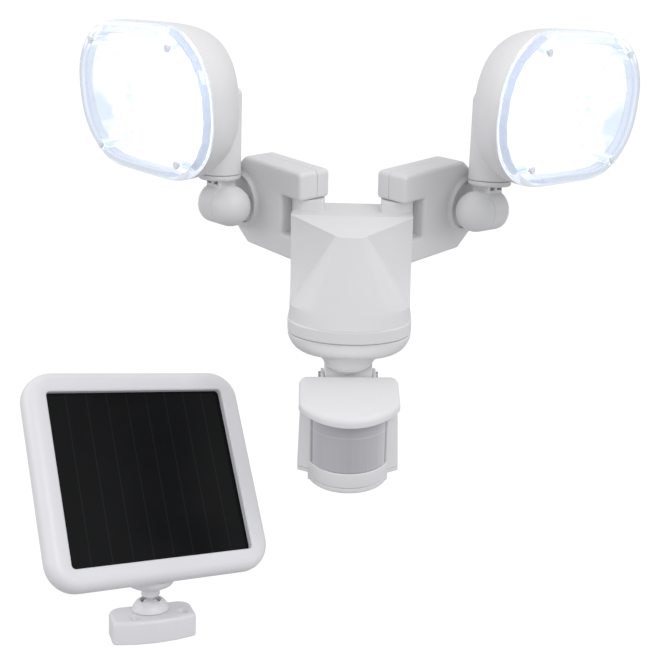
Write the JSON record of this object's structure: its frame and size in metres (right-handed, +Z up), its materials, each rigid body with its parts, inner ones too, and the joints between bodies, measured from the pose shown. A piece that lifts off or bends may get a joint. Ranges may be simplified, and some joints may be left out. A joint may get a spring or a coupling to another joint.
{
  "type": "solar flood light",
  "caption": "Wall-mounted solar security light with two lamp heads on folding arms, a hooded motion sensor below, and a separate solar panel on a ball-jointed foot.",
  "frame": {"origin": "centre of the wall plate's back face, on the wall", "axes": "+Y into the wall, +Z up, +X to the right as the lamp is seen from the front; the lamp looks along -Y"},
  "size_m": [0.402, 0.1927, 0.4013],
  "materials": {
    "white_plastic": "moulded satin ABS",
    "panel_plastic": "moulded satin ABS, a little glossier",
    "clear_plastic": "clear moulded acrylic",
    "frosted_plastic": "milky polyethylene with a moulded lens grid",
    "mirror_plastic": "vacuum-metallised plastic",
    "led_board": "white solder mask",
    "circuit_board": "green solder mask",
    "steel": "zinc-plated steel",
    "rubber": "matt black elastomer",
    "battery_wrap": "heat-shrink sleeve",
    "solar_cell": "laminated cell, near black, with silver lines"
  },
  "bodies": {
    "mount": {"wall_plate": "white_plastic", "housing": "white_plastic", "battery_cover": "white_plastic", "left_battery_cell": "battery_wrap", "right_battery_cell": "battery_wrap", "control_board": "circuit_board", "left_hinge_pin": "steel", "right_hinge_pin": "steel", "panel_lead_inlet": "rubber", "panel_foot": "panel_plastic", "ball_collar": "panel_plastic"},
    "left_arm": {"left_arm_front": "white_plastic", "left_arm_back": "white_plastic"},
    "left_knuckle": {"left_knuckle_base": "white_plastic", "left_tilt_bolt": "steel", "left_spindle_washer": "steel"},
    "left_barrel": {"left_knuckle_barrel": "white_plastic", "left_knuckle_cap": "white_plastic"},
    "left_head": {"left_head_housing": "white_plastic", "left_lens": "clear_plastic", "left_lens_seal": "rubber", "left_reflector": "mirror_plastic", "left_led_board": "led_board", "left_outer_upper_screw": "steel", "left_outer_lower_screw": "steel", "left_inner_upper_screw": "steel", "left_inner_lower_screw": "steel"},
    "right_arm": {"right_arm_front": "white_plastic", "right_arm_back": "white_plastic"},
    "right_knuckle": {"right_knuckle_base": "white_plastic", "right_tilt_bolt": "steel", "right_spindle_washer": "steel"},
    "right_barrel": {"right_knuckle_barrel": "white_plastic", "right_knuckle_cap": "white_plastic"},
    "right_head": {"right_head_housing": "white_plastic", "right_lens": "clear_plastic", "right_lens_seal": "rubber", "right_reflector": "mirror_plastic", "right_led_board": "led_board", "right_outer_upper_screw": "steel", "right_outer_lower_screw": "steel", "right_inner_upper_screw": "steel", "right_inner_lower_screw": "steel"},
    "sensor_swivel": {"sensor_neck": "white_plastic", "neck_retainer": "steel"},
    "sensor": {"sensor_hood": "white_plastic", "sensor_case": "white_plastic", "sensor_base": "white_plastic", "sensor_lens": "frosted_plastic", "sensor_board": "circuit_board", "sensor_pivot_pin": "steel"},
    "time_control": {"time_dial": "white_plastic"},
    "range_control": {"range_dial": "white_plastic"},
    "mode_control": {"mode_switch": "rubber"},
    "panel_pivot": {"ball_cup": "rubber"},
    "panel_ball": {"panel_ball": "panel_plastic"},
    "panel": {"panel_stem": "panel_plastic", "panel_frame": "panel_plastic", "solar_cell": "solar_cell", "panel_back": "panel_plastic"}
  },
  "joints": [
    {"name": "left_arm_swing", "type": "hinge", "parent": "mount", "child": "left_arm", "pos_m": [-0.0301, -0.02, 0], "axis": [0, 0, 1], "range_deg": [-10, 45]},
    {"name": "left_knuckle_roll", "type": "hinge", "parent": "left_arm", "child": "left_knuckle", "pos_m": [-0.09008, 0.00102, 0.0327], "axis": [-0.7466, -0.6652, 0], "range_deg": [-40, 40]},
    {"name": "left_knuckle_tilt", "type": "hinge", "parent": "left_knuckle", "child": "left_barrel", "pos_m": [-0.09008, 0.00102, 0.0327], "axis": [0.664, -0.7452, 0.061], "range_deg": [0, 75]},
    {"name": "left_head_swivel", "type": "hinge", "parent": "left_barrel", "child": "left_head", "pos_m": [-0.08972, 0.00297, 0.0525], "axis": [-0.0181, -0.0976, -0.9951], "range_deg": [-35, 35]},
    {"name": "right_arm_swing", "type": "hinge", "parent": "mount", "child": "right_arm", "pos_m": [0.0301, -0.02, 0], "axis": [0, 0, -1], "range_deg": [-10, 45]},
    {"name": "right_knuckle_roll", "type": "hinge", "parent": "right_arm", "child": "right_knuckle", "pos_m": [0.09008, 0.00102, 0.0327], "axis": [-0.7466, 0.6652, 0], "range_deg": [-40, 40]},
    {"name": "right_knuckle_tilt", "type": "hinge", "parent": "right_knuckle", "child": "right_barrel", "pos_m": [0.09008, 0.00102, 0.0327], "axis": [0.6617, 0.7427, -0.1028], "range_deg": [0, 75]},
    {"name": "right_head_swivel", "type": "hinge", "parent": "right_barrel", "child": "right_head", "pos_m": [0.09027, 0.00359, 0.05243], "axis": [0.0096, 0.1287, 0.9916], "range_deg": [-35, 35]},
    {"name": "sensor_pan", "type": "hinge", "parent": "mount", "child": "sensor_swivel", "pos_m": [0, -0.0478, -0.0693], "axis": [0, 0, 1], "range_deg": [-80, 80]},
    {"name": "sensor_tilt", "type": "hinge", "parent": "sensor_swivel", "child": "sensor", "pos_m": [0, -0.0478, -0.0693], "axis": [0.9986, 0.0523, 0], "range_deg": [-7, 35]},
    {"name": "time_dial_turn", "type": "hinge", "parent": "sensor", "child": "time_control", "pos_m": [-0.0081, -0.08427, -0.1296], "axis": [0, 0, -1], "range_deg": [-135, 135]},
    {"name": "range_dial_turn", "type": "hinge", "parent": "sensor", "child": "range_control", "pos_m": [0.01187, -0.08323, -0.1296], "axis": [0, 0, -1], "range_deg": [-135, 135]},
    {"name": "mode_switch_slide", "type": "slide", "parent": "sensor", "child": "mode_control", "axis": [0.9986, 0.0523, 0], "range_m": [0, 0.006]},
    {"name": "panel_pan", "type": "hinge", "parent": "mount", "child": "panel_pivot", "pos_m": [-0.1296, -0.09774, -0.22597], "axis": [0, 0.2419, 0.9703], "range_deg": [-20, 45]},
    {"name": "panel_tilt", "type": "hinge", "parent": "panel_pivot", "child": "panel_ball", "pos_m": [-0.1296, -0.09774, -0.22597], "axis": [0.9272, 0.3635, -0.0906], "range_deg": [-15, 20]},
    {"name": "panel_spin", "type": "hinge", "parent": "panel_ball", "child": "panel", "pos_m": [-0.1296, -0.09774, -0.22597], "axis": [0, 0.2419, 0.9703], "range_deg": [-20, 30]}
  ]
}
